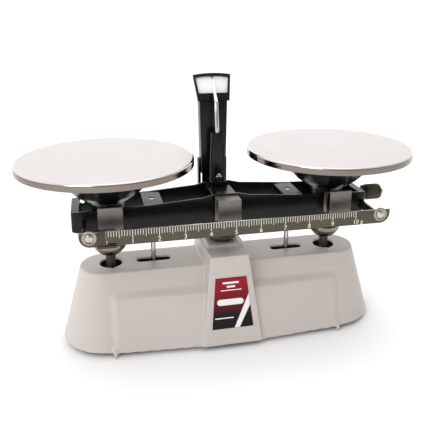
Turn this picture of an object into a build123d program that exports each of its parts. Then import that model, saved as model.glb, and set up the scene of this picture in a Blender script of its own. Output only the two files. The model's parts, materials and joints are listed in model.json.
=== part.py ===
"""Equal-arm two-pan trip balance with a sliding poise, millimetres.

+X runs along the beam to the right, -Y is the front, +Z is up. The origin is
on the table, under the middle of the footprint.
"""
from build123d import *
import os
from math import cos, radians, sin, tan

os.makedirs("parts", exist_ok=True)

# ---- driving dimensions -----------------------------------------------------
ARM = 102.1                 # fulcrum to pan knife edge, each side
PIVOT_Z = 120.5             # height of all three knife edges
LINK_Z = 22.0               # height of the check link pivots
FOOT_H = 4.5                # the skirt clears the table by this much

PLATE_D = 152.4             # six inch plates
PLATE_TOP = 168.8
PLATE_T = 1.2
RIM_H = 6.5

WING_L, WING_W = 295.0, 85.0            # footprint of the wings at the skirt
TOP_L, TOP_W = 259.0, 44.8              # flat top of the wings
WING_TOP = 71.0
PED_TOP = 82.8
PAD_TOP = 85.3
WALL = 3.0
HOLE_D = 19.6               # clearance holes for the pan stems
SLOT_L, SLOT_W = 31.0, 7.6  # clearance slots for the limit rods
STOP_X = 63.6

BEAM_L = 267.0
BEAM_W = 41.0
BEAM_WALL = 2.6
BEAM_BOTTOM = 108.6
END_BOTTOM = 110.6          # under the end walls
COVER_BOTTOM = 110.4
BRIDGE_X0, BRIDGE_X1 = 55.0, 72.2       # bridge that carries a limit rod
END_WALL = 7.0

STRIP_FRONT = -51.0
STRIP_T = 1.5
STRIP_Z0, STRIP_Z1 = 108.6, 121.6
STRIP_X0, STRIP_X1 = -127.3, 142.5
ZERO_X = -106.2             # the strip's zero mark
GRAM = 21.63                # run of the strip for one gram

TOWER_Y = 34.0              # front face of the indicator tower
TOWER_W, TOWER_FOOT_W = 26.0, 23.2
TOWER_D, TOWER_T = 12.0, 1.2
FLANGE_Z = 138.6            # the channel's flanges stop here
EAR_Z0, EAR_Z1 = 112.0, 152.5
TOWER_TOP = 208.4
TOWER_SCREW_Z = (95.0, 111.0)
POST_TOP = 122.0
HEAD_LEAN = 24.0            # degrees that the dial leans back
HEAD_FOOT = (32.0, 209.4)   # Y and Z of the dial frame's lower front edge


def save(part, name):
    """Label a finished piece and write its STEP file."""
    part.label = name
    export_step(part, f"parts/{name}.step")


# ---- base housing -----------------------------------------------------------
def wing_depth(z):
    """Half width of the wing at height z above the skirt's edge."""
    return WING_W / 2 - (WING_W - TOP_W) / 2 * z / (WING_TOP - FOOT_H)


def pedestal_outline(x_front, x_mid, y):
    return [(-x_front, -y), (x_front, -y), (x_mid, 0), (x_front, y), (-x_front, y), (-x_mid, 0)]


def panel_section(bottom, top):
    """Raised panel's section in local (Y, Z): face from bottom to top, then a sloped ledge."""
    ledge = FOOT_H + 49.5
    return [(-15, FOOT_H), (-bottom, FOOT_H), (-top, FOOT_H + 45.0),
            (-wing_depth(49.5) + 0.2, ledge), (-15, ledge)]


PANEL_STATIONS = [(22.0, 50.2, 36.2), (100.3, 44.6, 31.8), (105.8, 41.9, wing_depth(45.0) - 0.4)]
PEG_X, PEG_Y = 103.0, 45.2      # tips of the pointed feet
PEG_R, PEG_TIP_R = 2.7, 0.9

with BuildPart() as base_housing:
    with BuildSketch(Plane.XY.offset(FOOT_H)):
        SlotOverall(WING_L, WING_W)
    with BuildSketch(Plane.XY.offset(WING_TOP)):
        SlotOverall(TOP_L, TOP_W)
    loft()
    for side in (1, -1):
        for facing in (1, -1):
            for x, bottom, top in PANEL_STATIONS:
                with BuildSketch(Plane.YZ.offset(side * x)) as station:
                    with BuildLine():
                        Polyline(*[(facing * y, z) for y, z in panel_section(bottom, top)], close=True)
                    make_face()
            loft(ruled=True)
    with BuildSketch(Plane.XY.offset(FOOT_H)):
        Polygon(*pedestal_outline(27.1, 29.5, 52.1), align=None)
    with BuildSketch(Plane.XY.offset(PED_TOP)):
        Polygon(*pedestal_outline(17.3, 19.8, 36.1), align=None)
    loft()
    with BuildSketch(Plane.XY.offset(PED_TOP - 1)):
        RectangleRounded(33, 32, 3)
    extrude(amount=PAD_TOP - PED_TOP + 1, taper=12)
    # upright post behind the pedestal that carries the indicator tower
    with BuildSketch(Plane.XY.offset(48)):
        with Locations((0, TOWER_Y + TOWER_T + 4.9)):
            Rectangle(22.5, 9.6)
    extrude(amount=POST_TOP - 48)
    # hollow underneath
    with BuildSketch(Plane.XY.offset(FOOT_H)):
        SlotOverall(WING_L - 2.2 * WALL, WING_W - 2.2 * WALL)
    with BuildSketch(Plane.XY.offset(WING_TOP - WALL)):
        SlotOverall(TOP_L - 1.6 * WALL, TOP_W - 1.6 * WALL)
    loft(mode=Mode.SUBTRACT)
    with BuildSketch(Plane.XY.offset(FOOT_H)):
        Polygon(*pedestal_outline(24.0, 26.2, 49.0), align=None)
    with BuildSketch(Plane.XY.offset(PED_TOP - 4)):
        Polygon(*pedestal_outline(14.6, 16.8, 33.2), align=None)
    loft(mode=Mode.SUBTRACT)
    # a pointed foot under each panel corner, in line with the panel's sloping face
    for px in (-PEG_X, PEG_X):
        for py in (-PEG_Y, PEG_Y):
            with BuildSketch():
                with Locations((px, py)):
                    Circle(PEG_TIP_R)
            with BuildSketch(Plane.XY.offset(FOOT_H + 4)):
                with Locations((px, py * 0.925)):
                    Circle(PEG_R)
            loft()
    # stem holes with a small notch at the front, limit rod slots, pillar bolt holes
    for px in (-ARM, ARM):
        with Locations((px, 0, WING_TOP - 5)):
            Cylinder(HOLE_D / 2, 20, mode=Mode.SUBTRACT)
        with Locations((px + 1.2, -HOLE_D / 2, WING_TOP - 5)):
            Box(2.2, 3.6, 20, mode=Mode.SUBTRACT)
    for px in (-STOP_X, STOP_X):
        with BuildSketch(Plane.XY.offset(WING_TOP - 8)):
            with Locations((px, 0)):
                SlotOverall(SLOT_L, SLOT_W)
        extrude(amount=16, mode=Mode.SUBTRACT)
    with Locations((-8, 0, PED_TOP), (8, 0, PED_TOP)):
        Cylinder(2.05, 20, mode=Mode.SUBTRACT)
    for z in TOWER_SCREW_Z:
        with Locations(Location((0, TOWER_Y + 5, z), (90, 0, 0))):
            Cylinder(1.55, 30, mode=Mode.SUBTRACT)
save(base_housing.part, "base_housing")

# ---- nameplate, proud of the pedestal's sloping front -----------------------
PED_SLOPE = (52.1 - 36.1) / (PED_TOP - FOOT_H)
LABEL_Z0, LABEL_Z1 = 19.7, 64.3


def pedestal_front(z):
    """Y of the pedestal's front face at height z."""
    return -52.1 + PED_SLOPE * (z - FOOT_H)


label_plane = Plane(origin=(0, pedestal_front(LABEL_Z0), LABEL_Z0), x_dir=(1, 0, 0),
                    z_dir=(0, -1, PED_SLOPE))
LABEL_H = (LABEL_Z1 - LABEL_Z0) * (1 + PED_SLOPE ** 2) ** 0.5
with BuildPart() as nameplate:
    with BuildSketch(label_plane):
        Polygon((-18.6, 0), (18.6, 0), (14.0, LABEL_H), (-14.0, LABEL_H), align=None)
    extrude(amount=0.4)
save(nameplate.part, "nameplate")

# ---- fulcrum: bowl-footed pillar, bolts and the V bearing -------------------
with BuildPart() as fulcrum_pillar:
    with BuildSketch(Plane.XZ):
        with BuildLine():
            Polyline((0, PAD_TOP), (9.5, PAD_TOP), (14.6, PAD_TOP + 4.2), (14.6, PAD_TOP + 7),
                     (8, PAD_TOP + 11), (8, 106), (0, 106), close=True)
        make_face()
    revolve(axis=Axis.Z)
    with BuildSketch(Plane.XY.offset(104)):
        RectangleRounded(17, 27, 2.5)
    extrude(amount=9.0)
    with Locations((-8, 0, PAD_TOP), (8, 0, PAD_TOP)):
        Cylinder(2.0, 12, mode=Mode.SUBTRACT)
save(fulcrum_pillar.part, "fulcrum_pillar")

with BuildPart() as pillar_bolts:
    for px in (-8, 8):
        with Locations((px, 0, 85)):
            Cylinder(2.0, 12.6)
        with Locations((px, 0, 77.3)):
            Cylinder(3.6, 2.9)
save(pillar_bolts.part, "pillar_bolts")

BEARING_GAP = 0.05
VEE_HALF = 60.0             # half angle of the bearing vee
KNIFE_HALF = 32.0           # half angle of a knife edge


def vee(depth, half_angle, point, sign):
    """Triangle in the XZ plane with its point at the given height, opening up or down."""
    spread = depth * tan(radians(half_angle))
    return [(0, point), (spread, point + sign * depth), (-spread, point + sign * depth)]


with BuildPart() as fulcrum_bearing:
    with BuildSketch(Plane.XY.offset(113)):
        Rectangle(15, 24)
    extrude(amount=9.6)
    with BuildSketch(Plane.XZ):
        with BuildLine():
            Polyline(*vee(6, VEE_HALF, PIVOT_Z - BEARING_GAP, 1), close=True)
        make_face()
    extrude(amount=20, both=True, mode=Mode.SUBTRACT)
save(fulcrum_bearing.part, "fulcrum_bearing")

# ---- indicator tower, dial frame and dial -----------------------------------
with BuildPart() as indicator_tower:
    # channel that widens towards the top, open at the back
    for inset, mode in ((0, Mode.ADD), (TOWER_T, Mode.SUBTRACT)):
        for z, width in ((FLANGE_Z, TOWER_FOOT_W), (TOWER_TOP, TOWER_W)):
            with BuildSketch(Plane.XY.offset(z)):
                with Locations((0, TOWER_Y + inset + TOWER_D / 2)):
                    Rectangle(width - 2 * inset, TOWER_D)
        loft(mode=mode)
    # ears that clasp the post
    for side in (-1, 1):
        with Locations((side * 12.7, TOWER_Y + 9.2, (EAR_Z0 + EAR_Z1) / 2)):
            Box(2.4, 6.4, EAR_Z1 - EAR_Z0)
    with BuildSketch(Plane.XY.offset(PED_TOP)):
        with Locations((0, TOWER_Y + TOWER_T / 2)):
            Rectangle(22.6, TOWER_T)
    extrude(amount=56)
    for z in TOWER_SCREW_Z:
        with Locations(Location((0, TOWER_Y, z), (90, 0, 0))):
            Cylinder(1.7, 10, mode=Mode.SUBTRACT)
save(indicator_tower.part, "indicator_tower")

with BuildPart() as tower_screws:
    for z in TOWER_SCREW_Z:
        with Locations(Location((0, TOWER_Y + 5.0, z), (90, 0, 0))):
            Cylinder(1.5, 10)
        with Locations(Location((0, TOWER_Y - 0.9, z), (90, 0, 0))):
            Cylinder(2.9, 1.8)
save(tower_screws.part, "tower_screws")

head_plane = Plane(origin=(0, *HEAD_FOOT), x_dir=(1, 0, 0),
                   z_dir=(0, -cos(radians(HEAD_LEAN)), sin(radians(HEAD_LEAN))))
HEAD_H = 25.2
HEAD_FOOT_W, HEAD_TOP_W = 29.8, 35.6
HEAD_ARC_RISE = 1.5
HEAD_T = 2.4


def fan_sides(foot_half, top_half, y0, y1):
    """Straight foot and sides of a fan outline on the sloping head."""
    return [(-top_half, y1), (-foot_half, y0), (foot_half, y0), (top_half, y1)]


def fan_arch(top_half, y1):
    """Three points of the arch that closes the fan outline."""
    return [(-top_half, y1), (0, y1 + HEAD_ARC_RISE), (top_half, y1)]


with BuildPart() as dial_frame:
    with BuildSketch(head_plane):
        with BuildLine():
            Polyline(*fan_sides(HEAD_FOOT_W / 2, HEAD_TOP_W / 2, 0, HEAD_H))
            ThreePointArc(*fan_arch(HEAD_TOP_W / 2, HEAD_H))
        make_face()
    extrude(amount=-HEAD_T)
    with BuildSketch(head_plane):
        with BuildLine():
            Polyline(*fan_sides(13.7, 15.7, 7.4, HEAD_H - 2.6))
            ThreePointArc(*fan_arch(15.7, HEAD_H - 2.6))
        make_face()
    extrude(amount=-HEAD_T, mode=Mode.SUBTRACT)
    # index point in the middle of the upper bar, and the lug that plugs into the tower
    with BuildSketch(head_plane):
        Polygon((-0.5, HEAD_H - 1.0), (0.5, HEAD_H - 1.0), (0.15, HEAD_H - 3.2),
                (-0.15, HEAD_H - 3.2), align=None)
    extrude(amount=-HEAD_T)
    with BuildSketch(Plane.XY.offset(TOWER_TOP)):
        with Locations((0, TOWER_Y + 3.4)):
            Rectangle(22.4, 6.0)
    extrude(amount=3.6)
    with BuildSketch(Plane.XY.offset(TOWER_TOP - 8)):
        with Locations((0, TOWER_Y + TOWER_T + 2.6)):
            Rectangle(22.4, 5.0)
    extrude(amount=9)
save(dial_frame.part, "dial_frame")

with BuildPart() as dial_plate:
    with BuildSketch(head_plane.offset(-HEAD_T)):
        with BuildLine():
            Polyline(*fan_sides(14.2, 16.9, 6.6, HEAD_H - 1.2))
            ThreePointArc(*fan_arch(16.9, HEAD_H - 1.2))
        make_face()
    extrude(amount=-0.8)
save(dial_plate.part, "dial_plate")

# ---- check link hanger inside the base --------------------------------------
with BuildPart() as link_hanger:
    with BuildSketch(Plane.XY.offset(PED_TOP - 8.0)):
        Rectangle(14, 40)
    extrude(amount=4.0)
    for side in (1, -1):
        with BuildSketch(Plane.XY.offset(16)):
            with Locations((0, side * 5.2)):
                Rectangle(12, 3.0)
        extrude(amount=PED_TOP - 23)
    with Locations((-8, 0, PED_TOP - 4), (8, 0, PED_TOP - 4)):
        Cylinder(4.0, 20, mode=Mode.SUBTRACT)
    with Locations(Location((0, 0, LINK_Z), (90, 0, 0))):
        Cylinder(2.0, 30, mode=Mode.SUBTRACT)
save(link_hanger.part, "link_hanger")

with BuildPart() as link_pivot_pin:
    with Locations(Location((0, 0, LINK_Z), (90, 0, 0))):
        Cylinder(2.0, 17)
save(link_pivot_pin.part, "link_pivot_pin")

# ---- check link with its two pins -------------------------------------------
with BuildPart() as check_link:
    with BuildSketch(Plane.XZ):
        with Locations((0, LINK_Z)):
            SlotOverall(2 * ARM + 11, 11)
    extrude(amount=3, both=True)
    with Locations(Location((0, 0, LINK_Z), (90, 0, 0))):
        Cylinder(2.05, 20, mode=Mode.SUBTRACT)
    for px in (-ARM, ARM):
        with Locations(Location((px, 0, LINK_Z), (90, 0, 0))):
            Cylinder(2.0, 20, mode=Mode.SUBTRACT)
save(check_link.part, "check_link")

with BuildPart() as link_pins:
    for px in (-ARM, ARM):
        with Locations(Location((px, 0, LINK_Z), (90, 0, 0))):
            Cylinder(2.0, 14)
save(link_pins.part, "link_pins")

# ---- beam frame -------------------------------------------------------------
WALL_TOP = [(133.5, 127.8), (64, 129.8), (21, 133.0), (11, 135.5)]
KNIFE_H = 8.0
KNIFE_REACH = 33.0          # how far a knife edge reaches in front of the pan's axis


def mirrored(points):
    """Right half of a closed outline and its mirror image, in order."""
    return points + [(-x, z) for x, z in reversed(points)]


with BuildPart() as beam_frame:
    # both long walls with the raised middle
    for side in (1, -1):
        with BuildSketch(Plane.XZ.offset(side * (BEAM_W / 2))):
            with BuildLine():
                Polyline(*mirrored([(126, BEAM_BOTTOM), (BEAM_L / 2, END_BOTTOM)] + WALL_TOP), close=True)
            make_face()
        extrude(amount=-side * BEAM_WALL)
    # end walls, rod bridges and the middle bridge
    for side in (1, -1):
        with Locations((side * (BEAM_L - END_WALL) / 2, 0, (END_BOTTOM + 127.8) / 2)):
            Box(END_WALL, BEAM_W, 127.8 - END_BOTTOM)
        with Locations((side * (BRIDGE_X0 + BRIDGE_X1) / 2, 0, 126.9)):
            Box(BRIDGE_X1 - BRIDGE_X0, BEAM_W, 5.2)
        with Locations((side * STOP_X, 0, 126)):
            Cylinder(2.2, 12, mode=Mode.SUBTRACT)
    with Locations((0, 0, 131.3)):
        Box(21.6, BEAM_W, 3.4)
    corners = beam_frame.edges().filter_by(Axis.Z).filter_by(
        lambda e: abs(abs(e.center().X) - BEAM_L / 2) < 0.1)
    fillet(corners, radius=2.5)
    # seats for the knife edges, cut through both walls
    for px, sign in ((0, 1), (-ARM, -1), (ARM, -1)):
        with BuildSketch(Plane.XZ):
            with Locations((px, 0)):
                Polygon(*vee(KNIFE_H, KNIFE_HALF, PIVOT_Z, sign), align=None)
        extrude(amount=BEAM_W, both=True, mode=Mode.SUBTRACT)
    # holes near the ends of the rear wall, slots for the strip arms, thread for the zero stud
    for px in (-124.0, 124.0):
        with Locations(Location((px, BEAM_W / 2, 124.6), (90, 0, 0))):
            Cylinder(2.2, 8, mode=Mode.SUBTRACT)
    for px in (-123.0, 129.2):
        with Locations((px, -BEAM_W / 2, 116.5)):
            Box(2.0, 8, 8.0, mode=Mode.SUBTRACT)
    with Locations(Location((BEAM_L / 2, 0, PIVOT_Z), (0, 90, 0))):
        Cylinder(2.5, 16, mode=Mode.SUBTRACT)
    with Locations((-4.5, 16, 131), (4.5, 16, 131)):
        Cylinder(1.2, 10, mode=Mode.SUBTRACT)
save(beam_frame.part, "beam_frame")

# ---- knife edges, running front to back through the walls -------------------
knives = [("centre_knife", 0, 1, 24.0), ("left_knife", -ARM, -1, KNIFE_REACH),
          ("right_knife", ARM, -1, KNIFE_REACH)]
for name, px, sign, rear_reach in knives:
    with BuildPart() as knife:
        with BuildSketch(Plane.XZ.offset(-rear_reach)):
            with Locations((px, 0)):
                Polygon(*vee(KNIFE_H, KNIFE_HALF, PIVOT_Z, sign), align=None)
        extrude(amount=KNIFE_REACH + rear_reach)
    save(knife.part, name)

# ---- bent covers over the ends of the knife edges ---------------------------
COVER_W = 20.5
COVER_OUT = 14.5
COVER_T = 1.0


def cover_section(wall_top, top):
    """Cover's section in local (outward, Z): wall flange, roof, front face."""
    inner, bottom = BEAM_W / 2, COVER_BOTTOM
    outer = inner + COVER_OUT
    return [(inner, bottom + 1), (inner, wall_top), (outer, top), (outer, bottom),
            (outer - COVER_T, bottom), (outer - COVER_T, top - 1.3 * COVER_T),
            (inner + COVER_T, wall_top - 0.8 * COVER_T), (inner + COVER_T, bottom + 1)]


covers = [("front_centre_cover", 0, -1, 134.2, 134.2), ("front_left_cover", -ARM + 0.9, -1, 130.8, 136.0),
          ("front_right_cover", ARM, -1, 130.8, 136.0), ("rear_left_cover", -ARM + 0.9, 1, 130.8, 136.0),
          ("rear_right_cover", ARM, 1, 130.8, 136.0)]
for name, px, facing, wall_top, top in covers:
    with BuildPart() as cover:
        with BuildSketch(Plane.YZ.offset(px - COVER_W / 2)):
            with BuildLine():
                Polyline(*[(facing * y, z) for y, z in cover_section(wall_top, top)], close=True)
            make_face()
        extrude(amount=COVER_W)
        front_edges = cover.edges().filter_by(Axis.X).filter_by(
            lambda e: abs(e.center().Z - top) < 0.01 and abs(abs(e.center().Y) - 35.0) < 0.01)
        fillet(front_edges, radius=0.8)
        # opening in the wall flange where the knife edge passes through
        with BuildSketch(Plane.XZ):
            with Locations((0 if px == 0 else (ARM if px > 0 else -ARM), PIVOT_Z)):
                Rectangle(14, 17)
        extrude(amount=-facing * (BEAM_W / 2 + 3), mode=Mode.SUBTRACT)
    save(cover.part, name)

# ---- pointer and its holder -------------------------------------------------
HOLDER_Y = 17.6
HOLDER_TOP = 182.5
HOLDER_SCREW = (0.8, 141.2)     # X and Z
with BuildPart() as pointer_holder:
    # foot on the middle bridge, then a bar that passes over the rear wall
    with BuildSketch(Plane.XY.offset(133.0)):
        with Locations((0, 13.4)):
            Rectangle(14.8, 8.8)
    extrude(amount=5.0)
    for z, width in ((135.6, 14.6), (HOLDER_TOP, 11.8)):
        with BuildSketch(Plane.XY.offset(z)):
            with Locations((0, HOLDER_Y)):
                RectangleRounded(width, 5.2, 1.2)
    loft()
    with Locations((0, HOLDER_Y, 176)):
        Cylinder(1.9, 16, mode=Mode.SUBTRACT)
    with Locations(Location((HOLDER_SCREW[0], HOLDER_Y, HOLDER_SCREW[1]), (90, 0, 0))):
        Cylinder(1.5, 12, mode=Mode.SUBTRACT)
save(pointer_holder.part, "pointer_holder")

with BuildPart() as holder_screw:
    with Locations(Location((HOLDER_SCREW[0], HOLDER_Y - 0.2, HOLDER_SCREW[1]), (90, 0, 0))):
        Cylinder(1.5, 4.8)
    with BuildSketch(Plane((HOLDER_SCREW[0], HOLDER_Y - 2.6, HOLDER_SCREW[1]), x_dir=(1, 0, 0), z_dir=(0, -1, 0))):
        Circle(3.1)
    extrude(amount=2.0, taper=25)
save(holder_screw.part, "holder_screw")

ROD_TOP = (HOLDER_Y + 4.6, 209.5)
TIP = (37.6, 227.6)
with BuildPart() as pointer:
    with BuildLine() as rod_path:
        Polyline((0, HOLDER_Y, 168.1), (0, HOLDER_Y, 184.0), (0, *ROD_TOP))
    with BuildSketch(Plane.XY.offset(168.1)):
        with Locations((0, HOLDER_Y)):
            Circle(1.85)
    sweep(path=rod_path.line, transition=Transition.RIGHT)
    # flattened blade, bent back to meet the leaning dial
    with BuildSketch(Plane.YZ) as blade_side:
        with BuildLine():
            y, z = ROD_TOP
            Polyline((y - 0.9, z - 5), (y - 0.8, z + 0.6), (TIP[0] - 0.3, TIP[1]), (TIP[0] + 0.1, TIP[1] - 0.5),
                     (y + 0.8, z - 0.8), (y + 0.6, z - 5), close=True)
        make_face()
    extrude(amount=1.6, both=True)
    with BuildSketch(Plane.XZ):
        Polygon((0.35, TIP[1] + 1), (3, TIP[1] + 1), (3, ROD_TOP[1] + 1.5), (1.55, ROD_TOP[1] + 1.5), align=None)
        Polygon((-0.35, TIP[1] + 1), (-3, TIP[1] + 1), (-3, ROD_TOP[1] + 1.5),
                (-1.55, ROD_TOP[1] + 1.5), align=None)
    extrude(amount=-60, mode=Mode.SUBTRACT)
save(pointer.part, "pointer")

# ---- limit rods and their stop nuts -----------------------------------------
ROD_R = 2.2
NUT_TOP = WING_TOP - WALL - 4.9
for name, px in (("left_limit_rod", -STOP_X), ("right_limit_rod", STOP_X)):
    with BuildPart() as limit_rod:
        with Locations((px, 0, (129.0 + 50) / 2)):
            Cylinder(ROD_R, 129.0 - 50)
    save(limit_rod.part, name)
for name, px in (("left_stop_nut", -STOP_X), ("right_stop_nut", STOP_X)):
    with BuildPart() as stop_nut:
        with BuildSketch(Plane.XY.offset(NUT_TOP - 5)):
            with Locations((px, 0)):
                RegularPolygon(5.6, 6)
                Circle(ROD_R, mode=Mode.SUBTRACT)
        extrude(amount=5)
    save(stop_nut.part, name)

# ---- graduated strip, its arms and screws -----------------------------------
STRIP_BACK = STRIP_FRONT + STRIP_T
SCREW_X = (-119.0, 133.2)
SCREW_Z = 116.9
with BuildPart() as poise_strip:
    with BuildSketch(Plane.XZ.offset(-STRIP_BACK)):
        with Locations(((STRIP_X0 + STRIP_X1) / 2, (STRIP_Z0 + STRIP_Z1) / 2)):
            Rectangle(STRIP_X1 - STRIP_X0, STRIP_Z1 - STRIP_Z0)
    extrude(amount=STRIP_T)
    lower_corners = poise_strip.edges().filter_by(Axis.Y).group_by(Axis.Z)[0]
    fillet(lower_corners, radius=9.0)
    for px in SCREW_X:
        with Locations(Location((px, STRIP_FRONT, SCREW_Z), (90, 0, 0))):
            Cylinder(1.75, 10, mode=Mode.SUBTRACT)
save(poise_strip.part, "poise_strip")

for name, px, screw_x in (("left_strip_arm", -123.0, SCREW_X[0]), ("right_strip_arm", 129.2, SCREW_X[1])):
    with BuildPart() as strip_arm:
        with BuildSketch(Plane.XY.offset(112.5)):
            with BuildLine():
                Polyline((px - 1, -16.5), (px - 1, STRIP_BACK), (px + 8.5, STRIP_BACK), (px + 8.5, STRIP_BACK + 2),
                         (px + 1, STRIP_BACK + 2), (px + 1, -16.5), close=True)
            make_face()
        extrude(amount=8.0)
        with Locations(Location((screw_x, STRIP_BACK, SCREW_Z), (90, 0, 0))):
            Cylinder(1.75, 10, mode=Mode.SUBTRACT)
    save(strip_arm.part, name)

with BuildPart() as strip_screws:
    for px in SCREW_X:
        with Locations(Location((px, STRIP_FRONT + 1.9, SCREW_Z), (90, 0, 0))):
            Cylinder(1.75, 3.8)
        with BuildSketch(Plane((px, STRIP_FRONT, SCREW_Z), x_dir=(1, 0, 0), z_dir=(0, -1, 0))):
            Circle(3.4)
        extrude(amount=1.8, taper=25)
save(strip_screws.part, "strip_screws")

# ---- sliding poise ----------------------------------------------------------
POISE_L, POISE_R = ZERO_X - 6.9, ZERO_X + 8.2
SLIP = 0.08                 # gap between the poise and the strip
SHEET = 0.9
with BuildPart() as poise:
    y_front = STRIP_FRONT - SLIP - SHEET
    y_back = STRIP_BACK + SLIP + SHEET
    z_top = STRIP_Z1 + SLIP + SHEET
    z_bottom = STRIP_Z0 - SLIP - SHEET
    with BuildSketch(Plane.YZ.offset(POISE_L)):
        with Locations(((y_front + y_back) / 2, (z_top + z_bottom) / 2)):
            Rectangle(y_back - y_front, z_top - z_bottom)
            Rectangle(y_back - y_front - 2 * SHEET, z_top - z_bottom - 2 * SHEET, mode=Mode.SUBTRACT)
    extrude(amount=POISE_R - POISE_L)
    # sight window to the right of the index edge
    with Locations(((ZERO_X + POISE_R) / 2 + 1, STRIP_FRONT - 3, (STRIP_Z0 + STRIP_Z1) / 2 + 1.4)):
        Box(POISE_R - ZERO_X + 2, 6, 12.2, mode=Mode.SUBTRACT)
    # rolled lower lip
    with BuildSketch(Plane.YZ.offset(POISE_L)):
        with Locations((y_front - 0.4, z_bottom + 1.0)):
            RectangleRounded(1.6, 2.4, 0.7)
    extrude(amount=POISE_R - POISE_L)
save(poise.part, "poise")

# ---- zero adjustment --------------------------------------------------------
KNOB_X0, KNOB_X1 = 141.6, 157.4
with BuildPart() as zero_stud:
    with Locations(Location((143.5, 0, PIVOT_Z), (0, 90, 0))):
        Cylinder(2.5, 34.0)
save(zero_stud.part, "zero_stud")

with BuildPart() as zero_lock_ring:
    with BuildSketch(Plane.YZ.offset(KNOB_X0 - 1.9)):
        with Locations((0, PIVOT_Z)):
            Circle(6.9)
            Circle(2.5, mode=Mode.SUBTRACT)
    extrude(amount=1.6)
save(zero_lock_ring.part, "zero_lock_ring")

with BuildPart() as zero_knob:
    with BuildSketch(Plane.YZ.offset(KNOB_X0)):
        with Locations((0, PIVOT_Z)):
            Circle(7.5)
    extrude(amount=KNOB_X1 - KNOB_X0)
    rims = zero_knob.edges().filter_by(GeomType.CIRCLE)
    chamfer(rims, length=0.8)
    with Locations(Location((KNOB_X0 + 9.6, 0, PIVOT_Z), (0, 90, 0))):
        Cylinder(2.55, 19.4, mode=Mode.SUBTRACT)
save(zero_knob.part, "zero_knob")

# ---- pan supports -----------------------------------------------------------
DISH_TOP = PLATE_TOP - PLATE_T - 0.05
PAN_BEARING_TOP = 129.0
NECK_R = 13.5
NECK = [(NECK_R, 92.5), (NECK_R, 119.0), (14.8, 126.5), (16.2, 130.4), (18.6, 133.0)]
DISH_OUTER = [(22.8, 134.8), (29.0, 139.6), (44.0, 155.0), (47.0, 160.5), (47.0, DISH_TOP)]
DISH_INNER = [(44.2, DISH_TOP), (44.2, 161.6), (41.5, 156.8), (27.0, 142.2), (18.0, 137.4), (0, 136.4)]
for side_name, px in (("left", -ARM), ("right", ARM)):
    with BuildPart() as pan_support:
        # waisted neck that flares into the dish, turned about the pan's own axis
        with BuildSketch(Plane.XZ):
            with BuildLine():
                Polyline((0, NECK[0][1]), *NECK, *DISH_OUTER, *DISH_INNER, close=True)
            make_face()
        revolve(axis=Axis.Z)
        # window that the knife edge and its bearing sit in
        with Locations((0, 0, (PAN_BEARING_TOP + 106.0) / 2)):
            Box(15.4, 60, PAN_BEARING_TOP - 106.0, mode=Mode.SUBTRACT)
        with Locations((0, 0, 98)):
            Cylinder(4.25, 24, mode=Mode.SUBTRACT)
    moved = pan_support.part.moved(Location((px, 0, 0)))
    save(moved, f"{side_name}_pan_support")

    with BuildPart() as pan_bearing:
        with Locations((px, 0, PAN_BEARING_TOP - 5.4)):
            Box(15.3, 24, 10.8)
        with BuildSketch(Plane.XZ):
            with Locations((px, 0)):
                Polygon(*vee(8, VEE_HALF, PIVOT_Z + BEARING_GAP, -1), align=None)
        extrude(amount=20, both=True, mode=Mode.SUBTRACT)
    save(pan_bearing.part, f"{side_name}_pan_bearing")

    with BuildPart() as hub_cup:
        with BuildSketch(Plane.XZ):
            with BuildLine():
                Polyline((4.25, 80.2), (6.2, 80.2), (10.8, 82.6), (13.9, 86.2), (14.6, 90.5),
                         (14.6, 92.0), (4.25, 92.0), close=True)
            make_face()
        revolve(axis=Axis.Z)
    save(hub_cup.part.moved(Location((px, 0, 0))), f"{side_name}_hub_cup")

    with BuildPart() as stem:
        with Locations((px, 0, (104 + 30) / 2)):
            Cylinder(4.25, 104 - 30)
        with Locations((px, 0, 25)):
            Box(11, 13, 18)
        with Locations((px, 0, 22)):
            Box(12, 6.6, 14, mode=Mode.SUBTRACT)
        with Locations(Location((px, 0, LINK_Z), (90, 0, 0))):
            Cylinder(2.3, 30, mode=Mode.SUBTRACT)
    save(stem.part, f"{side_name}_stem")

    with BuildPart() as plate:
        rim = PLATE_D / 2
        with BuildSketch(Plane.XZ):
            with BuildLine():
                Polyline((0, PLATE_TOP), (rim - 1.6, PLATE_TOP), (rim - 0.4, PLATE_TOP - 0.9), (rim, PLATE_TOP - 2.4),
                         (rim, PLATE_TOP - RIM_H + 0.6), (rim - 0.6, PLATE_TOP - RIM_H),
                         (rim - 1.2, PLATE_TOP - RIM_H + 0.4), (rim - 1.2, PLATE_TOP - 2.6),
                         (rim - 2.2, PLATE_TOP - PLATE_T), (43.8, PLATE_TOP - PLATE_T),
                         (43.8, PLATE_TOP - 4.0), (42.6, PLATE_TOP - 4.0), (42.6, PLATE_TOP - PLATE_T),
                         (0, PLATE_TOP - PLATE_T), close=True)
            make_face()
        revolve(axis=Axis.Z)
    save(plate.part.moved(Location((px, 0, 0))), f"{side_name}_plate")
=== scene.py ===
"""Looks for an equal-arm trip balance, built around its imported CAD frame. Lengths are in metres."""
import json
from math import cos, pi, radians, sin, tan

import bmesh
import bpy
from mathutils import Matrix, Vector


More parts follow.
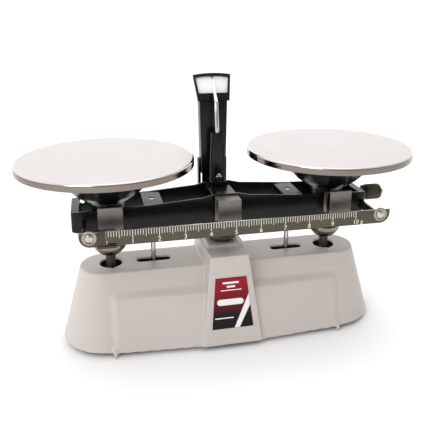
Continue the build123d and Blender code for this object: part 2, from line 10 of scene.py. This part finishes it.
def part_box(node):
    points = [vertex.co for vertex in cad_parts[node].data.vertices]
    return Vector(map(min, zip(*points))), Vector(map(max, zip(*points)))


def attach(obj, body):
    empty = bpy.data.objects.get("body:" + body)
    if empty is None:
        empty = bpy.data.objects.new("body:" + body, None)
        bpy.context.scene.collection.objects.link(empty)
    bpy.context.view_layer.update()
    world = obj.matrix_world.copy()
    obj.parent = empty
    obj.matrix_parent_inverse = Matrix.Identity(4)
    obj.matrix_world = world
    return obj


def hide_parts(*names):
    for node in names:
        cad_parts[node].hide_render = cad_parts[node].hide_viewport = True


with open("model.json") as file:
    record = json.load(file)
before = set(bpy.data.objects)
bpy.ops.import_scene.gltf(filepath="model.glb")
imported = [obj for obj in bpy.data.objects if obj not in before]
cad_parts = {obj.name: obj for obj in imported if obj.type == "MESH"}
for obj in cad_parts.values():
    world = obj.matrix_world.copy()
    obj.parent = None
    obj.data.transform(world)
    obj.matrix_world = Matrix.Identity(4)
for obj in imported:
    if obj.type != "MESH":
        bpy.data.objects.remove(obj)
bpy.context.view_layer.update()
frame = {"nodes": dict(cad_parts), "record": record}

MM = 0.001
SLOT_OF = {part["node"]: part["material_slot"] for part in frame["record"]["subparts"]}
BODY_OF = {node: body for body, held in frame["record"]["behaviour"]["bodies"].items() for node in held}


# ---- materials ---------------------------------------------------------------
class Finish:
    """One material and the node tree behind it. Texture lengths are in metres."""

    def __init__(self, name, **sockets):
        self.material = bpy.data.materials.new(name)
        self.material.use_nodes = True
        self.tree = self.material.node_tree
        self.shader = self.tree.nodes["Principled BSDF"]
        for socket, value in sockets.items():
            self.shader.inputs[socket.replace("_", " ")].default_value = value
        self.place = self.node("ShaderNodeTexCoord").outputs["Object"]

    def node(self, kind, **settings):
        made = self.tree.nodes.new(kind)
        for key, value in settings.items():
            setattr(made, key, value)
        return made

    def link(self, output, node, socket):
        self.tree.links.new(output, node.inputs[socket])

    def noise(self, grain, detail=3.0, stretch=(1, 1, 1)):
        """Noise whose features are about grain long, drawn out along the axes in stretch."""
        mapping = self.node("ShaderNodeMapping")
        mapping.inputs["Scale"].default_value = [1 / (grain * s) for s in stretch]
        self.link(self.place, mapping, "Vector")
        noise = self.node("ShaderNodeTexNoise")
        noise.inputs["Scale"].default_value = 1.0
        noise.inputs["Detail"].default_value = detail
        noise.inputs["Roughness"].default_value = 0.5
        self.link(mapping.outputs["Vector"], noise, "Vector")
        return noise.outputs["Fac"]

    def spread(self, value, low, high, start=0.3, end=0.7):
        """value between start and end, mapped to low and high."""
        ramp = self.node("ShaderNodeMapRange", clamp=True)
        for socket, number in (("From Min", start), ("From Max", end), ("To Min", low), ("To Max", high)):
            ramp.inputs[socket].default_value = number
        self.link(value, ramp, "Value")
        return ramp.outputs["Result"]

    def blend(self, factor, first, second):
        """Colour that goes from first to second as factor goes from 0 to 1."""
        mix = self.node("ShaderNodeMix", data_type="RGBA")
        self.link(factor, mix, "Factor")
        for socket, color in ((6, first), (7, second)):
            mix.inputs[socket].default_value = (*color, 1)
        return mix.outputs[2]

    def color(self, factor, first, second):
        self.link(self.blend(factor, first, second), self.shader, "Base Color")

    def roughness(self, factor, low, high):
        self.link(self.spread(factor, low, high), self.shader, "Roughness")

    def bump(self, height, depth):
        """Relief of the given depth in metres, added on top of any bump made before."""
        bump = self.node("ShaderNodeBump")
        bump.inputs["Strength"].default_value = 1.0
        bump.inputs["Distance"].default_value = depth
        self.link(height, bump, "Height")
        before = self.shader.inputs["Normal"].links
        if before:
            self.link(before[0].from_socket, bump, "Normal")
        self.link(bump.outputs["Normal"], self.shader, "Normal")


def grey_paint():
    """Satin warm grey paint over a casting: slow tone changes and a fine orange peel."""
    f = Finish("grey_paint", Coat_Weight=0.15, Coat_Roughness=0.35)
    f.color(f.noise(0.035), (0.505, 0.462, 0.428), (0.545, 0.502, 0.468))
    f.roughness(f.noise(0.006), 0.42, 0.56)
    f.bump(f.noise(0.012), 0.00012)
    f.bump(f.noise(0.0011, detail=2), 0.00003)
    return f.material


def black_enamel():
    """Glossy black stoving enamel with a faint orange peel."""
    f = Finish("black_enamel", Specular_IOR_Level=0.22, Coat_Weight=0.05, Coat_Roughness=0.1)
    f.color(f.noise(0.02), (0.003, 0.003, 0.003), (0.006, 0.0058, 0.0055))
    f.roughness(f.noise(0.004), 0.2, 0.28)
    f.bump(f.noise(0.003, detail=2), 0.000012)
    return f.material


def dark_casting():
    """Bare casting, dull and slightly rough."""
    f = Finish("dark_casting", Metallic=0.6)
    f.color(f.noise(0.004), (0.05, 0.05, 0.042), (0.09, 0.087, 0.075))
    f.roughness(f.noise(0.003), 0.4, 0.6)
    f.bump(f.noise(0.0012), 0.00008)
    return f.material


def metal(name, dark, light, low, high, stretch=(12, 1, 1)):
    """Brushed metal: tone drifts from dark to light, roughness runs from low to high."""
    f = Finish(name, Metallic=1.0)
    brushed = f.noise(0.0008, stretch=stretch)
    f.color(f.noise(0.02), dark, light)
    f.roughness(brushed, low, high)
    f.bump(brushed, 0.000006)
    return f.material


def dial_white():
    """Smooth white dial paint."""
    f = Finish("dial_white")
    f.color(f.noise(0.01), (0.86, 0.86, 0.85), (0.93, 0.93, 0.92))
    f.roughness(f.noise(0.003), 0.35, 0.45)
    return f.material


def label_print():
    """Dark red at the top that fades to black at the bottom."""
    f = Finish("nameplate", Specular_IOR_Level=0.12)
    low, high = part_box("nameplate")
    split = f.node("ShaderNodeSeparateXYZ")
    f.link(f.place, split, "Vector")
    f.color(f.spread(split.outputs["Z"], 0.0, 1.0, low.z + 0.012, high.z - 0.008),
            (0.012, 0.009, 0.009), (0.26, 0.012, 0.025))
    f.roughness(f.noise(0.002), 0.3, 0.4)
    return f.material


def ink(name, tone, roughness=0.5):
    """Printed or filled marks, a little worn."""
    f = Finish(name, Roughness=roughness)
    worn = tuple(0.88 * c for c in tone)
    f.color(f.noise(0.0012), worn, tone)
    return f.material


FINISHES = {
    "grey_paint": grey_paint(),
    "nameplate": label_print(),
    "label_white": ink("label_white", (0.86, 0.85, 0.84), 0.35),
    "scale_ink": ink("scale_ink", (0.86, 0.83, 0.74)),
    "dark_casting": dark_casting(),
    "zinc_steel": metal("zinc_steel", (0.42, 0.42, 0.42), (0.52, 0.51, 0.5), 0.25, 0.4),
    "hard_steel": metal("hard_steel", (0.3, 0.3, 0.3), (0.4, 0.4, 0.4), 0.15, 0.3),
    "black_enamel": black_enamel(),
    "dial_white": dial_white(),
    "satin_steel": metal("satin_steel", (0.18, 0.162, 0.15), (0.24, 0.215, 0.2), 0.36, 0.5,
                         stretch=(1, 1, 14)),
    "bright_chrome": metal("bright_chrome", (0.5, 0.48, 0.46), (0.6, 0.58, 0.56), 0.05, 0.12),
    "strip_metal": metal("strip_metal", (0.075, 0.066, 0.05), (0.11, 0.098, 0.076), 0.22, 0.36),
    "seat_metal": metal("seat_metal", (0.3, 0.27, 0.23), (0.36, 0.33, 0.29), 0.08, 0.15),
    "poise_brass": metal("poise_brass", (0.3, 0.21, 0.1), (0.42, 0.31, 0.17), 0.12, 0.22),
    "poise_bronze": metal("poise_bronze", (0.06, 0.05, 0.042), (0.09, 0.074, 0.06), 0.2, 0.32),
    "dark_nickel": metal("dark_nickel", (0.04, 0.034, 0.026), (0.07, 0.06, 0.046), 0.15, 0.28),
    "hub_metal": metal("hub_metal", (0.2, 0.18, 0.15), (0.26, 0.235, 0.205), 0.12, 0.22),
    "plate_steel": metal("plate_steel", (0.53, 0.5, 0.49), (0.575, 0.548, 0.538), 0.34, 0.46),
    "plate_rim": metal("plate_rim", (0.2, 0.165, 0.145), (0.24, 0.2, 0.175), 0.07, 0.13),
}


# ---- building pieces ----------------------------------------------------------
def place(name, mesh, body, materials, replaces=()):
    """Puts a finished mesh in the scene as a piece that rides on body and stands for CAD nodes."""
    piece = bpy.data.objects.new(name, mesh)
    bpy.context.collection.objects.link(piece)
    if mesh.materials:          # clearing also resets the faces' material indices
        mesh.materials.clear()
    for material in materials:
        mesh.materials.append(material)
    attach(piece, body)
    if replaces:
        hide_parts(*replaces)
    return piece


def smooth_by_angle(mesh, degrees=32):
    """Smooth shading that breaks at edges sharper than the given angle."""
    mesh.shade_smooth()
    bm = bmesh.new()
    bm.from_mesh(mesh)
    for edge in bm.edges:
        edge.smooth = len(edge.link_faces) == 2 and edge.calc_face_angle(0) < radians(degrees)
    bm.to_mesh(mesh)
    bm.free()


def settled(mesh, *modifiers):
    """A new mesh with the given (kind, settings) modifiers worked into it."""
    holder = bpy.data.objects.new("holder", mesh)
    bpy.context.collection.objects.link(holder)
    for kind, settings in modifiers:
        modifier = holder.modifiers.new(kind.lower(), kind)
        for key, value in settings.items():
            setattr(modifier, key, value)
    graph = bpy.context.evaluated_depsgraph_get()
    result = bpy.data.meshes.new_from_object(holder.evaluated_get(graph))
    bpy.data.objects.remove(holder)
    return result


def row_mesh(node):
    """A copy of the CAD node's mesh in row coordinates."""
    holder = frame["nodes"][node]
    mesh = holder.data.copy()
    mesh.transform(holder.matrix_world)
    return mesh


def cad_copy(node):
    """The CAD node's mesh, joined along its seams and with its flat faces whole again."""
    bm = bmesh.new()
    bm.from_mesh(row_mesh(node))
    bmesh.ops.remove_doubles(bm, verts=bm.verts, dist=1e-6)
    bmesh.ops.dissolve_limit(bm, angle_limit=radians(0.4), verts=bm.verts, edges=bm.edges)
    mesh = bpy.data.meshes.new(node)
    bm.to_mesh(mesh)
    bm.free()
    return mesh


def eased(node, material=None):
    """A CAD part with its sharp edges eased, as if deburred."""
    bevel = dict(width=0.25 * MM, segments=3, limit_method="ANGLE", angle_limit=radians(28),
                 use_clamp_overlap=True)
    mesh = settled(cad_copy(node), ("BEVEL", bevel))
    smooth_by_angle(mesh)
    slot = SLOT_OF[node]
    return place("eased_" + node, mesh, BODY_OF[node], [material or FINISHES[slot]], [node])


def cast(node, voxel, rounds, materials=None):
    """A CAD part with every edge and corner rounded over, as on a casting."""
    mesh = settled(row_mesh(node),
                   ("REMESH", dict(mode="VOXEL", voxel_size=voxel, adaptivity=0.0)),
                   ("SMOOTH", dict(factor=0.5, iterations=rounds)))
    mesh.shade_smooth()
    slot = SLOT_OF[node]
    return place("cast_" + node, mesh, BODY_OF[node], materials or [FINISHES[slot]], [node])


def rounded(points, segments=6):
    """The polyline of (u, v, radius) points with an arc of that radius at each inner corner."""
    path = [points[0][:2]]
    for before, corner, after in zip(points, points[1:], points[2:]):
        c = Vector(corner[:2])
        a, b = (Vector(before[:2]) - c).normalized(), (Vector(after[:2]) - c).normalized()
        if corner[2] <= 0:
            path.append(tuple(c))
            continue
        half = a.angle(b) / 2
        reach = corner[2] / tan(half)
        centre = c + (a + b).normalized() * corner[2] / sin(half)
        start, end = c + a * reach, c + b * reach
        sweep = (start - centre).angle_signed(end - centre)
        for i in range(segments + 1):
            turn = Matrix.Rotation(-sweep * i / segments, 2)
            path.append(tuple(centre + turn @ (start - centre)))
    path.append(points[-1][:2])
    return path


def turned(name, profile, place_at, steps=96, face_material=None, radius_at=None):
    """Mesh made by turning (radius, height) points about place_at's Z axis.

    face_material(i) gives the material index of the band after profile point i, and
    radius_at(i, k) gives the radius of point i at step k of the turn."""
    bm = bmesh.new()
    rings = []
    for i, (r, h) in enumerate(profile):
        if r < 1e-7:
            rings.append([bm.verts.new(place_at @ Vector((0, 0, h)))])
            continue
        ring = []
        for k in range(steps):
            angle = 2 * pi * k / steps
            reach = radius_at(i, k) if radius_at else r
            ring.append(bm.verts.new(place_at @ Vector((reach * cos(angle), reach * sin(angle), h))))
        rings.append(ring)
    for i, (low, high) in enumerate(zip(rings, rings[1:])):
        for k in range(steps):
            corners = [low[k % len(low)], low[(k + 1) % len(low)],
                       high[(k + 1) % len(high)], high[k % len(high)]]
            face = bm.faces.new(list(dict.fromkeys(corners)))
            face.material_index = face_material(i) if face_material else 0
    bmesh.ops.recalc_face_normals(bm, faces=bm.faces)
    mesh = bpy.data.meshes.new(name)
    bm.to_mesh(mesh)
    bm.free()
    return mesh


def slab(bm, outline, thickness, at):
    """Adds a prism to bm: the closed (u, v) outline, with thickness below it, both carried by matrix at."""
    top = [bm.verts.new(at @ Vector((u, v, 0))) for u, v in outline]
    low = [bm.verts.new(at @ Vector((u, v, -thickness))) for u, v in outline]
    bm.faces.new(top)
    bm.faces.new(low[::-1])
    count = len(outline)
    for i in range(count):
        bm.faces.new([top[i], low[i], low[(i + 1) % count], top[(i + 1) % count]])


def facing_front(x, y, z):
    """Frame at (x, y, z) whose own Z points at the front, whose X is the row's X and whose Y is up."""
    return Matrix.Translation((x, y, z)) @ Matrix.Rotation(pi / 2, 4, "X")


# ---- CAD parts that keep their shape ------------------------------------------
def dress_cad_nodes():
    """Every CAD node takes its record slot's finish; most are then replaced by a finer piece."""
    for node, slot in SLOT_OF.items():
        mesh = frame["nodes"][node].data
        mesh.materials.clear()
        mesh.materials.append(FINISHES[slot])


SKIN = 1.6                      # mm inside the outer wall at which the inner walls, coloured dark as painted shade, begin
SKIRT_Z, WING_Z, PEDESTAL_Z = 4.5, 69.4, 80.0   # mm: bottom edge, underside of the wing and pedestal tops
WING_RISE = 66.5                # mm that the wings rise from the skirt's bottom edge
WING_FOOT, WING_TAPER = (147.5, 42.5), (18.0, 20.1)         # half length and width, and how much each narrows
PEDESTAL_FOOT, PEDESTAL_SLOPE = (27.1, 52.1), (0.125, 0.204)


def on_shaded_inner_wall(point):
    """True for points on the housing's inner walls, which are coloured dark as painted shade."""
    x, y, z = abs(point.x) / MM, abs(point.y) / MM, point.z / MM
    if z > PEDESTAL_Z:
        return False
    height = z - SKIRT_Z
    rise = height / WING_RISE
    half_length = WING_FOOT[0] - WING_TAPER[0] * rise - SKIN
    half_width = WING_FOOT[1] - WING_TAPER[1] * rise - SKIN
    reach = max(0.0, x - (half_length - half_width))
    in_wing = z < WING_Z and (reach ** 2 + y ** 2) ** 0.5 < half_width
    half_x = PEDESTAL_FOOT[0] - PEDESTAL_SLOPE[0] * height - SKIN
    half_y = PEDESTAL_FOOT[1] - PEDESTAL_SLOPE[1] * height - SKIN
    return in_wing or (x < half_x and y < half_y)


def build_housing():
    """The painted casting; its hidden inner walls take the dark casting finish as painted shade."""
    housing = cast("base_housing", 0.9 * MM, 6, [FINISHES["grey_paint"], FINISHES["dark_casting"]])
    # inner walls get the dark casting finish: painted shade inside the hollow housing
    for face in housing.data.polygons:
        face.material_index = int(on_shaded_inner_wall(face.center))


# ---- plates -------------------------------------------------------------------
def build_plate(side):
    """Pressed steel plate: brushed face, polished rim that rolls under at its edge, with a painted highlight
    on its upper rounding.
    """
    node = side + "_plate"
    low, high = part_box(node)
    centre = Vector(((low.x + high.x) / 2, 0, high.z))
    rim = (high.x - low.x) / 2
    depth = 6.5 * MM
    inner = rim - 1.3 * MM
    under_z = -1.2 * MM
    ring_outer, ring_inner, ring_z = 43.8 * MM, 42.6 * MM, -4 * MM
    outside = rounded([(0, 0, 0), (rim, 0, 1.9 * MM), (rim, -depth, 0.6 * MM), (inner, -depth, 0.55 * MM),
                       (inner, -depth + 2 * MM, 0)], segments=8)
    under = rounded([(inner, -depth + 2 * MM, 0), (inner, under_z, 1.2 * MM),
                     (ring_outer, under_z, 0.3 * MM), (ring_outer, ring_z, 0.2 * MM),
                     (ring_inner, ring_z, 0.2 * MM), (ring_inner, under_z, 0.3 * MM),
                     (0, under_z, 0)])

    def band_finish_with_highlight(i):
        """Brushed face and underside, a painted highlight in bright chrome on the upper rounding, polished
        rim.
        """
        if i == 0 or i >= len(outside) + 8:
            return 0
        return 2 if i <= 6 else 1

    mesh = turned(node, outside + under[1:], Matrix.Translation(centre), steps=160,
                  face_material=band_finish_with_highlight)
    smooth_by_angle(mesh, 50)
    # the third finish, bright chrome, is a painted highlight on the rim's upper rounding
    place("pan_" + node, mesh, node,
          [FINISHES["plate_steel"], FINISHES["plate_rim"], FINISHES["bright_chrome"]], [node])


# ---- graduated strip ----------------------------------------------------------
GRAMS = 10
POISE_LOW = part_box("poise")[0]
STRIP_LOW, STRIP_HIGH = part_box("poise_strip")
JOINTS = {joint["name"]: joint for joint in frame["record"]["behaviour"]["joints"]}
POISE_TRAVEL = JOINTS["poise_slide"]["range_m"][1]
ZERO_X = POISE_LOW.x + 6.9 * MM
GRAM = POISE_TRAVEL / GRAMS
INK = 0.02 * MM             # the graduations stand this far out of the strip, clear of the poise
EDGE = 0.4 * MM             # bevel along the strip's edges
STRIP_SCREWS = [(-119.0 * MM, 116.9 * MM), (133.2 * MM, 116.9 * MM)]


def build_strip():
    """The strip itself, with a painted highlight in bright chrome along its upward-facing top edge, and a
    dished seat for the screw at each end.
    """
    bm = bmesh.new()
    corner = 9 * MM
    outline = rounded([(STRIP_LOW.x, STRIP_HIGH.z, 0), (STRIP_LOW.x, STRIP_LOW.z, corner),
                       (STRIP_HIGH.x, STRIP_LOW.z, corner), (STRIP_HIGH.x, STRIP_HIGH.z, 0)], segments=12)
    slab(bm, outline, STRIP_HIGH.y - STRIP_LOW.y, facing_front(0, STRIP_LOW.y, 0))
    mesh = bpy.data.meshes.new("strip")
    bm.to_mesh(mesh)
    bm.free()
    bevel = dict(width=EDGE, segments=3, limit_method="ANGLE", angle_limit=radians(50))
    mesh = settled(mesh, ("BEVEL", bevel))
    smooth_by_angle(mesh)
    place("strip", mesh, "beam",
          [FINISHES["strip_metal"], FINISHES["bright_chrome"]], ["poise_strip"])
    # upward-facing faces of the top bevel take bright chrome: a painted highlight along the top edge
    for face in mesh.polygons:
        face.material_index = int(face.center.z > STRIP_HIGH.z - EDGE and face.normal.z > 0.2)
    for i, (x, z) in enumerate(STRIP_SCREWS):
        seat = [(0, 0.05 * MM), (3.6 * MM, 0.05 * MM), (4.6 * MM, 0.35 * MM), (5.5 * MM, 0.62 * MM),
                (6.0 * MM, 0.55 * MM), (6.25 * MM, 0), (6.25 * MM, -0.2 * MM)]
        mesh = turned("seat", seat, facing_front(x, STRIP_LOW.y, z), steps=64)
        mesh.shade_smooth()
        place(f"strip_screw_seat_{i}", mesh, "beam", [FINISHES["seat_metal"]])


def build_graduations():
    """A line for each tenth of a gram, longer at each half and longest at each gram."""
    bm = bmesh.new()
    drop = {0: 7.0 * MM, 5: 6.2 * MM}
    for tenth in range(10 * GRAMS + 1):
        x = ZERO_X + tenth * GRAM / 10
        length = drop.get(tenth % 10, 4.8 * MM)
        half = 0.27 * MM if tenth % 10 == 0 else 0.22 * MM
        top = STRIP_HIGH.z - 0.3 * MM
        outline = [(x - half, top), (x - half, top - length), (x + half, top - length), (x + half, top)]
        slab(bm, outline, 2 * INK, facing_front(0, STRIP_LOW.y - INK, 0))
    mesh = bpy.data.meshes.new("graduations")
    bm.to_mesh(mesh)
    bm.free()
    place("graduations", mesh, "beam", [FINISHES["scale_ink"]])


def lettered(name, words, height, at):
    """Mesh of raised text, centred, with its foot at the origin of matrix at."""
    text = bpy.data.curves.new(name, "FONT")
    text.body = words
    text.size = height / 0.7
    text.align_x = "CENTER"
    text.extrude = INK
    text.offset = 0.02 * MM
    holder = bpy.data.objects.new(name, text)
    bpy.context.collection.objects.link(holder)
    graph = bpy.context.evaluated_depsgraph_get()
    mesh = bpy.data.meshes.new_from_object(holder.evaluated_get(graph))
    bpy.data.objects.remove(holder)
    mesh.transform(at)
    return mesh


def build_numerals():
    """A number under each whole gram, the last one with its unit."""
    height = 3.9 * MM
    foot = STRIP_LOW.z + 1.2 * MM
    for gram in range(GRAMS + 1):
        words = f"{gram}" if gram < GRAMS else f"{gram} g"
        x = ZERO_X + gram * GRAM + (0 if gram < GRAMS else 2.2 * MM)
        mesh = lettered(f"numeral_{gram}", words, height, facing_front(x, STRIP_LOW.y - INK, foot))
        place(f"numeral_{gram}", mesh, "beam", [FINISHES["scale_ink"]])


# ---- screws -------------------------------------------------------------------
def build_screw(name, node, body, at, radius, height):
    """Round head with a straight slot; at's Z points out of the work."""
    dome = [(0, height)]
    for i in range(1, 9):
        angle = pi / 2 * i / 8
        dome.append((radius * sin(angle), height * (0.22 + 0.78 * cos(angle))))
    dome += [(radius, 0), (0, 0)]
    mesh = turned(name, dome, at, steps=48)
    bm = bmesh.new()
    half = radius * 0.14
    slot_floor = height * 0.5
    outline = [(-half, -2 * radius), (half, -2 * radius), (half, 2 * radius), (-half, 2 * radius)]
    turn = Matrix.Rotation(radians(35), 4, "Z")
    slab(bm, outline, height, at @ turn @ Matrix.Translation((0, 0, slot_floor + height)))
    bmesh.ops.recalc_face_normals(bm, faces=bm.faces)
    blade_mesh = bpy.data.meshes.new("blade")
    bm.to_mesh(blade_mesh)
    bm.free()
    blade = bpy.data.objects.new("blade", blade_mesh)
    bpy.context.collection.objects.link(blade)
    cut = settled(mesh, ("BOOLEAN", dict(operation="DIFFERENCE", object=blade, solver="EXACT")))
    bpy.data.objects.remove(blade)
    smooth_by_angle(cut, 40)
    place(name, cut, body, [FINISHES["bright_chrome"]], [node])


def build_screws():
    """Screw heads at the strip's ends, on the pointer holder and up the tower."""
    for i, (x, z) in enumerate(STRIP_SCREWS):
        at = facing_front(x, STRIP_LOW.y - 0.05 * MM, z)
        build_screw(f"strip_screw_{i}", "strip_screws", "beam", at, 3.3 * MM, 2.0 * MM)
    low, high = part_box("holder_screw")
    at = facing_front((low.x + high.x) / 2, low.y + 1.2 * MM, (low.z + high.z) / 2)
    build_screw("holder_screw_head", "holder_screw", "beam", at, 3.0 * MM, 1.9 * MM)
    tower_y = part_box("tower_screws")[0].y + 1.8 * MM
    for i, z in enumerate((95.0 * MM, 111.0 * MM)):
        at = facing_front(0, tower_y, z)
        build_screw(f"tower_screw_{i}", "tower_screws", "base", at, 2.9 * MM, 1.7 * MM)


# ---- knob, hubs ---------------------------------------------------------------
def build_knob():
    """Straight-knurled zero knob with smooth chamfered ends."""
    low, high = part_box("zero_knob")
    radius = (high.z - low.z) / 2
    length = high.x - low.x
    teeth, per_tooth = 44, 4
    knurl = 0.32 * MM
    profile = [(2.6 * MM, 0), (radius - 1.0 * MM, 0), (radius - 0.3 * MM, 0.35 * MM),
               (radius - 0.1 * MM, 1.1 * MM), (radius, 1.5 * MM), (radius, length - 2.6 * MM),
               (radius - 0.3 * MM, length - 2.2 * MM),
               (radius - 0.3 * MM, length - 0.9 * MM), (radius - 1.1 * MM, length), (3.4 * MM, length),
               (3.0 * MM, length - 0.7 * MM), (2.6 * MM, length - 0.7 * MM), (2.6 * MM, 0)]

    def radius_at(i, k):
        ridge = knurl * (0.5 + 0.5 * cos(2 * pi * k / per_tooth)) if i in (4, 5) else 0
        return profile[i][0] - ridge

    at = Matrix.Translation((low.x, 0, (low.z + high.z) / 2)) @ Matrix.Rotation(pi / 2, 4, "Y")
    mesh = turned("knob", profile, at, steps=teeth * per_tooth, radius_at=radius_at)
    smooth_by_angle(mesh, 35)
    place("knurled_knob", mesh, "zero_knob", [FINISHES["dark_nickel"]], ["zero_knob"])


def build_hub(side):
    """Turned cup under the pan support, bored for the stem."""
    node = side + "_hub_cup"
    low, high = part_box(node)
    radius = (high.x - low.x) / 2
    height = high.z - low.z
    profile = rounded([(4.25 * MM, height, 0), (radius, height, 0.6 * MM), (radius, 7.5 * MM, 4 * MM),
                       (9.8 * MM, 1.6 * MM, 4 * MM), (6.2 * MM, 0, 1.2 * MM), (4.25 * MM, 0, 0)], segments=8)
    mesh = turned(node, profile, Matrix.Translation(((low.x + high.x) / 2, 0, low.z)), steps=96)
    smooth_by_angle(mesh, 50)
    place("turned_" + node, mesh, side + "_pan", [FINISHES["hub_metal"]], [node])


# ---- nameplate ----------------------------------------------------------------
def build_label_marks():
    """Plain rules, a bar and a slanting band: generic marks, no lettering."""
    low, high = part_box("nameplate")
    rise = Vector((0, high.y - low.y - 0.4 * MM, high.z - low.z)).normalized()
    out = Vector((1, 0, 0)).cross(rise)
    at = Matrix.Translation(Vector((0, low.y, low.z)) + out * 0.06 * MM)
    at = at @ Matrix((Vector((1, 0, 0)), rise, out)).transposed().to_4x4()

    def bar(u, v, width, height):
        """Outline of a round-ended bar centred on (u, v), all in millimetres."""
        half, radius = width / 2 * MM, height / 2 * 0.98 * MM
        v0, v1 = (v - height / 2) * MM, (v + height / 2) * MM
        middle, right, left = u * MM, u * MM + half, u * MM - half
        far_side = rounded([(middle, v0, 0), (right, v0, radius), (right, v1, radius), (middle, v1, 0)])
        near_side = rounded([(middle, v1, 0), (left, v1, radius), (left, v0, radius), (middle, v0, 0)])
        return far_side + near_side[1:-1]

    bm = bmesh.new()
    for mark in (bar(-0.5, 41.0, 15, 1.7), bar(-0.5, 37.6, 8, 1.7), bar(-0.5, 34.4, 19, 0.8),
                 bar(-1.5, 23.8, 24, 5.4), bar(-7.5, 9.6, 17, 1.0)):
        slab(bm, mark, 0.08 * MM, at)
    band = [(1.5, 0.3), (6.2, 0.3), (16.4, 20.0), (15.4, 30.0)]
    slab(bm, [(u * MM, v * MM) for u, v in band], 0.08 * MM, at)
    mesh = bpy.data.meshes.new("label_marks")
    bm.to_mesh(mesh)
    bm.free()
    place("label_marks", mesh, "base", [FINISHES["label_white"]])


dress_cad_nodes()
build_housing()
for side in ("left", "right"):
    build_plate(side)
    build_hub(side)
    cast(side + "_pan_support", 0.55 * MM, 5)
cast("beam_frame", 0.45 * MM, 2)
cast("fulcrum_pillar", 0.5 * MM, 4)
for node in ("indicator_tower", "dial_frame", "dial_plate", "pointer_holder", "pointer", "left_strip_arm",
             "right_strip_arm", "zero_lock_ring", "front_centre_cover", "front_left_cover",
             "front_right_cover", "rear_left_cover", "rear_right_cover"):
    eased(node)
eased("poise", FINISHES["poise_bronze"])
build_strip()
build_graduations()
build_numerals()
build_screws()
build_knob()
build_label_marks()


# ---- floor, light and camera -------------------------------------------------
def stage_floor():
    """A pale sheet, wide enough to fill the view, under the feet."""
    half = 30.0
    mesh = bpy.data.meshes.new("floor")
    corners = [(-half, -half, 0), (half, -half, 0), (half, half, 0), (-half, half, 0)]
    mesh.from_pydata(corners, [], [(0, 1, 2, 3)])
    floor = bpy.data.objects.new("floor", mesh)
    bpy.context.collection.objects.link(floor)
    f = Finish("pale_floor", Roughness=0.9)
    f.color(f.noise(0.3), (0.93, 0.93, 0.93), (0.95, 0.95, 0.95))
    mesh.materials.append(f.material)


def area_light(name, where, target, size, power):
    """A rectangular lamp at where, aimed at target; size in metres and power in watts."""
    light = bpy.data.lights.new(name, "AREA")
    light.shape = "RECTANGLE"
    light.size, light.size_y = size
    light.energy = power
    lamp = bpy.data.objects.new(name, light)
    lamp.location = where
    lamp.rotation_euler = (Vector(target) - Vector(where)).to_track_quat("-Z", "Y").to_euler()
    bpy.context.collection.objects.link(lamp)


def studio_light():
    """A bright tent that dims to the front and right, a key from the left and a softbox above."""
    scene = bpy.context.scene
    scene.view_settings.view_transform = "Standard"
    world = bpy.data.worlds.new("studio")
    world.use_nodes = True
    nodes, links = world.node_tree.nodes, world.node_tree.links
    background = nodes["Background"]
    background.inputs["Color"].default_value = (1, 0.995, 0.99, 1)
    direction = nodes.new("ShaderNodeTexCoord")
    lean = nodes.new("ShaderNodeVectorMath")
    lean.operation = "DOT_PRODUCT"
    lean.inputs[1].default_value = (-0.4, 0.9, 0.15)
    links.new(direction.outputs["Generated"], lean.inputs[0])
    depth = nodes.new("ShaderNodeMapRange")
    for socket, number in (("From Min", -1.0), ("From Max", 0.6), ("To Min", 0.4), ("To Max", 1.5)):
        depth.inputs[socket].default_value = number
    links.new(lean.outputs["Value"], depth.inputs["Value"])
    links.new(depth.outputs["Result"], background.inputs["Strength"])
    scene.world = world
    area_light("key", (-0.8, -0.9, 0.9), (0, 0, 0.08), (0.7, 0.7), 6.0)
    area_light("softbox", (0.1, 0.15, 1.2), (0, 0, 0.1), (1.1, 0.9), 3.0)


def camera():
    """Stands a little left of centre and above, turned and tipped towards the middle."""
    yaw, pitch, roll = radians(12.953), radians(16.063), radians(0.20)
    data = bpy.data.cameras.new("camera")
    data.sensor_width = 36.0
    data.lens = 49.06
    data.shift_x, data.shift_y = -0.0233, -0.1159
    data.clip_start, data.clip_end = 0.05, 20
    data.dof.use_dof = False
    eye = bpy.data.objects.new("camera", data)
    turn = (Matrix.Rotation(-yaw, 4, "Z") @ Matrix.Rotation(pi / 2 - pitch, 4, "X")
            @ Matrix.Rotation(roll, 4, "Z"))
    eye.matrix_world = Matrix.Translation((-0.11031, -0.49865, 0.30244)) @ turn
    bpy.context.collection.objects.link(eye)
    bpy.context.scene.camera = eye


stage_floor()
studio_light()
camera()
